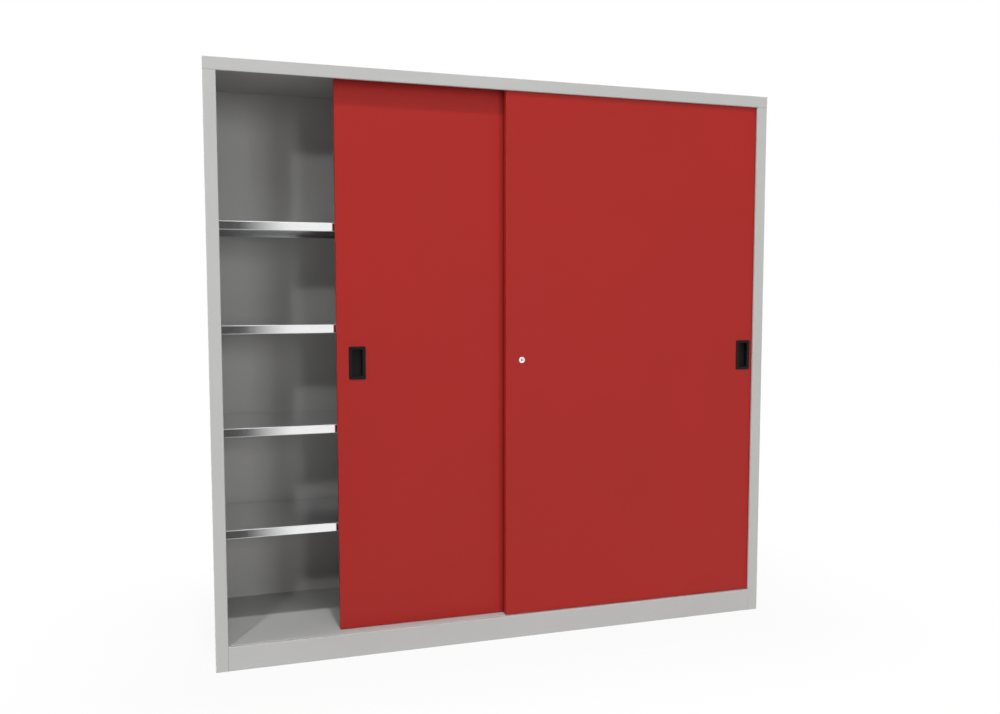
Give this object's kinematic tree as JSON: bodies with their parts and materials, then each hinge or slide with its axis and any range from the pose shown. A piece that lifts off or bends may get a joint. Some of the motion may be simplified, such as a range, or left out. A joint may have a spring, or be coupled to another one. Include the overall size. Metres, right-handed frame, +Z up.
{
  "type": "sliding door cabinet",
  "caption": "Free-standing sheet-steel cabinet with overlapping top-hung sliding doors, recessed pulls, a turning lock and bays of shelves on slotted uprights.",
  "frame": {"origin": "middle of the cabinet's footprint, on the floor that it stands on", "axes": "+Z up, +X to the right when facing the doors, +Y from the doors to the back"},
  "size_m": [2, 0.5, 1.95],
  "materials": {
    "grey_paint": "light grey powder coat, fine texture, half matt",
    "red_paint": "ruby red powder coat, fine texture, half matt",
    "galvanised_sheet": "bright galvanised steel sheet with a faint rolling grain",
    "plated_steel": "zinc-plated steel",
    "black_plastic": "black moulded plastic, fine grain",
    "lock_chrome": "polished chrome plate",
    "nylon": "natural white nylon",
    "rubber": "black rubber"
  },
  "bodies": {
    "carcass": {"left_side_panel": "grey_paint", "right_side_panel": "grey_paint", "roof_panel": "grey_paint", "floor_panel": "grey_paint", "front_plinth": "grey_paint", "rear_plinth": "grey_paint", "left_back_panel": "grey_paint", "right_back_panel": "grey_paint", "centre_partition": "grey_paint", "upright_left_front": "grey_paint", "upright_left_rear": "grey_paint", "upright_centre_left_front": "grey_paint", "upright_centre_left_rear": "grey_paint", "upright_centre_right_front": "grey_paint", "upright_centre_right_rear": "grey_paint", "upright_right_front": "grey_paint", "upright_right_rear": "grey_paint", "shelf_left_1": "galvanised_sheet", "shelf_left_2": "galvanised_sheet", "shelf_left_3": "galvanised_sheet", "shelf_left_4": "galvanised_sheet", "shelf_right_1": "galvanised_sheet", "shelf_right_2": "galvanised_sheet", "shelf_right_3": "galvanised_sheet", "shelf_right_4": "galvanised_sheet", "shelf_clips_left": "plated_steel", "shelf_clips_right": "plated_steel", "front_top_track": "plated_steel", "rear_top_track": "plated_steel", "track_rivets": "plated_steel", "front_floor_guide": "nylon", "rear_floor_guide": "nylon", "door_buffers": "rubber", "roof_screws": "plated_steel", "back_rivets": "plated_steel"},
    "front_door": {"front_door_panel": "red_paint", "front_door_stiffener": "red_paint", "front_door_guide_channel": "plated_steel", "front_door_handle": "black_plastic", "front_hanger_left": "plated_steel", "front_hanger_right": "plated_steel", "front_hanger_bolts": "plated_steel", "front_roller_axles": "plated_steel", "lock_cylinder": "lock_chrome", "lock_nut": "plated_steel"},
    "rear_door": {"rear_door_panel": "red_paint", "rear_door_stiffener": "red_paint", "rear_door_guide_channel": "plated_steel", "rear_door_handle": "black_plastic", "rear_hanger_left": "plated_steel", "rear_hanger_right": "plated_steel", "rear_hanger_bolts": "plated_steel", "rear_roller_axles": "plated_steel"},
    "lock": {"lock_plug": "lock_chrome", "lock_cam": "plated_steel"},
    "front_left_roller_pair": {"front_rollers_left": "nylon"},
    "front_right_roller_pair": {"front_rollers_right": "nylon"},
    "rear_left_roller_pair": {"rear_rollers_left": "nylon"},
    "rear_right_roller_pair": {"rear_rollers_right": "nylon"}
  },
  "joints": [
    {"name": "front_door_slide", "type": "slide", "parent": "carcass", "child": "front_door", "axis": [1, 0, 0], "range_m": [-0.972, 0]},
    {"name": "rear_door_slide", "type": "slide", "parent": "carcass", "child": "rear_door", "axis": [1, 0, 0], "range_m": [-0.394, 0.578]},
    {"name": "lock_turn", "type": "hinge", "parent": "front_door", "child": "lock", "pos_m": [0.041, -0.24, 0.989], "axis": [0, 1, 0], "range_deg": [0, 90]},
    {"name": "front_left_roller_spin", "type": "hinge", "parent": "front_door", "child": "front_left_roller_pair", "pos_m": [0.093, -0.2275, 1.9368], "axis": [0, 1, 0], "continuous": true},
    {"name": "front_right_roller_spin", "type": "hinge", "parent": "front_door", "child": "front_right_roller_pair", "pos_m": [0.879, -0.2275, 1.9368], "axis": [0, 1, 0], "continuous": true},
    {"name": "rear_left_roller_spin", "type": "hinge", "parent": "rear_door", "child": "rear_left_roller_pair", "pos_m": [-0.485, -0.1925, 1.9368], "axis": [0, 1, 0], "continuous": true},
    {"name": "rear_right_roller_spin", "type": "hinge", "parent": "rear_door", "child": "rear_right_roller_pair", "pos_m": [0.301, -0.1925, 1.9368], "axis": [0, 1, 0], "continuous": true}
  ],
  "couplings": [
    {"joint": "front_left_roller_spin", "follows": "front_door_slide", "rad_per_m": 111.11},
    {"joint": "front_right_roller_spin", "follows": "front_door_slide", "rad_per_m": 111.11},
    {"joint": "rear_left_roller_spin", "follows": "rear_door_slide", "rad_per_m": 111.11},
    {"joint": "rear_right_roller_spin", "follows": "rear_door_slide", "rad_per_m": 111.11}
  ]
}
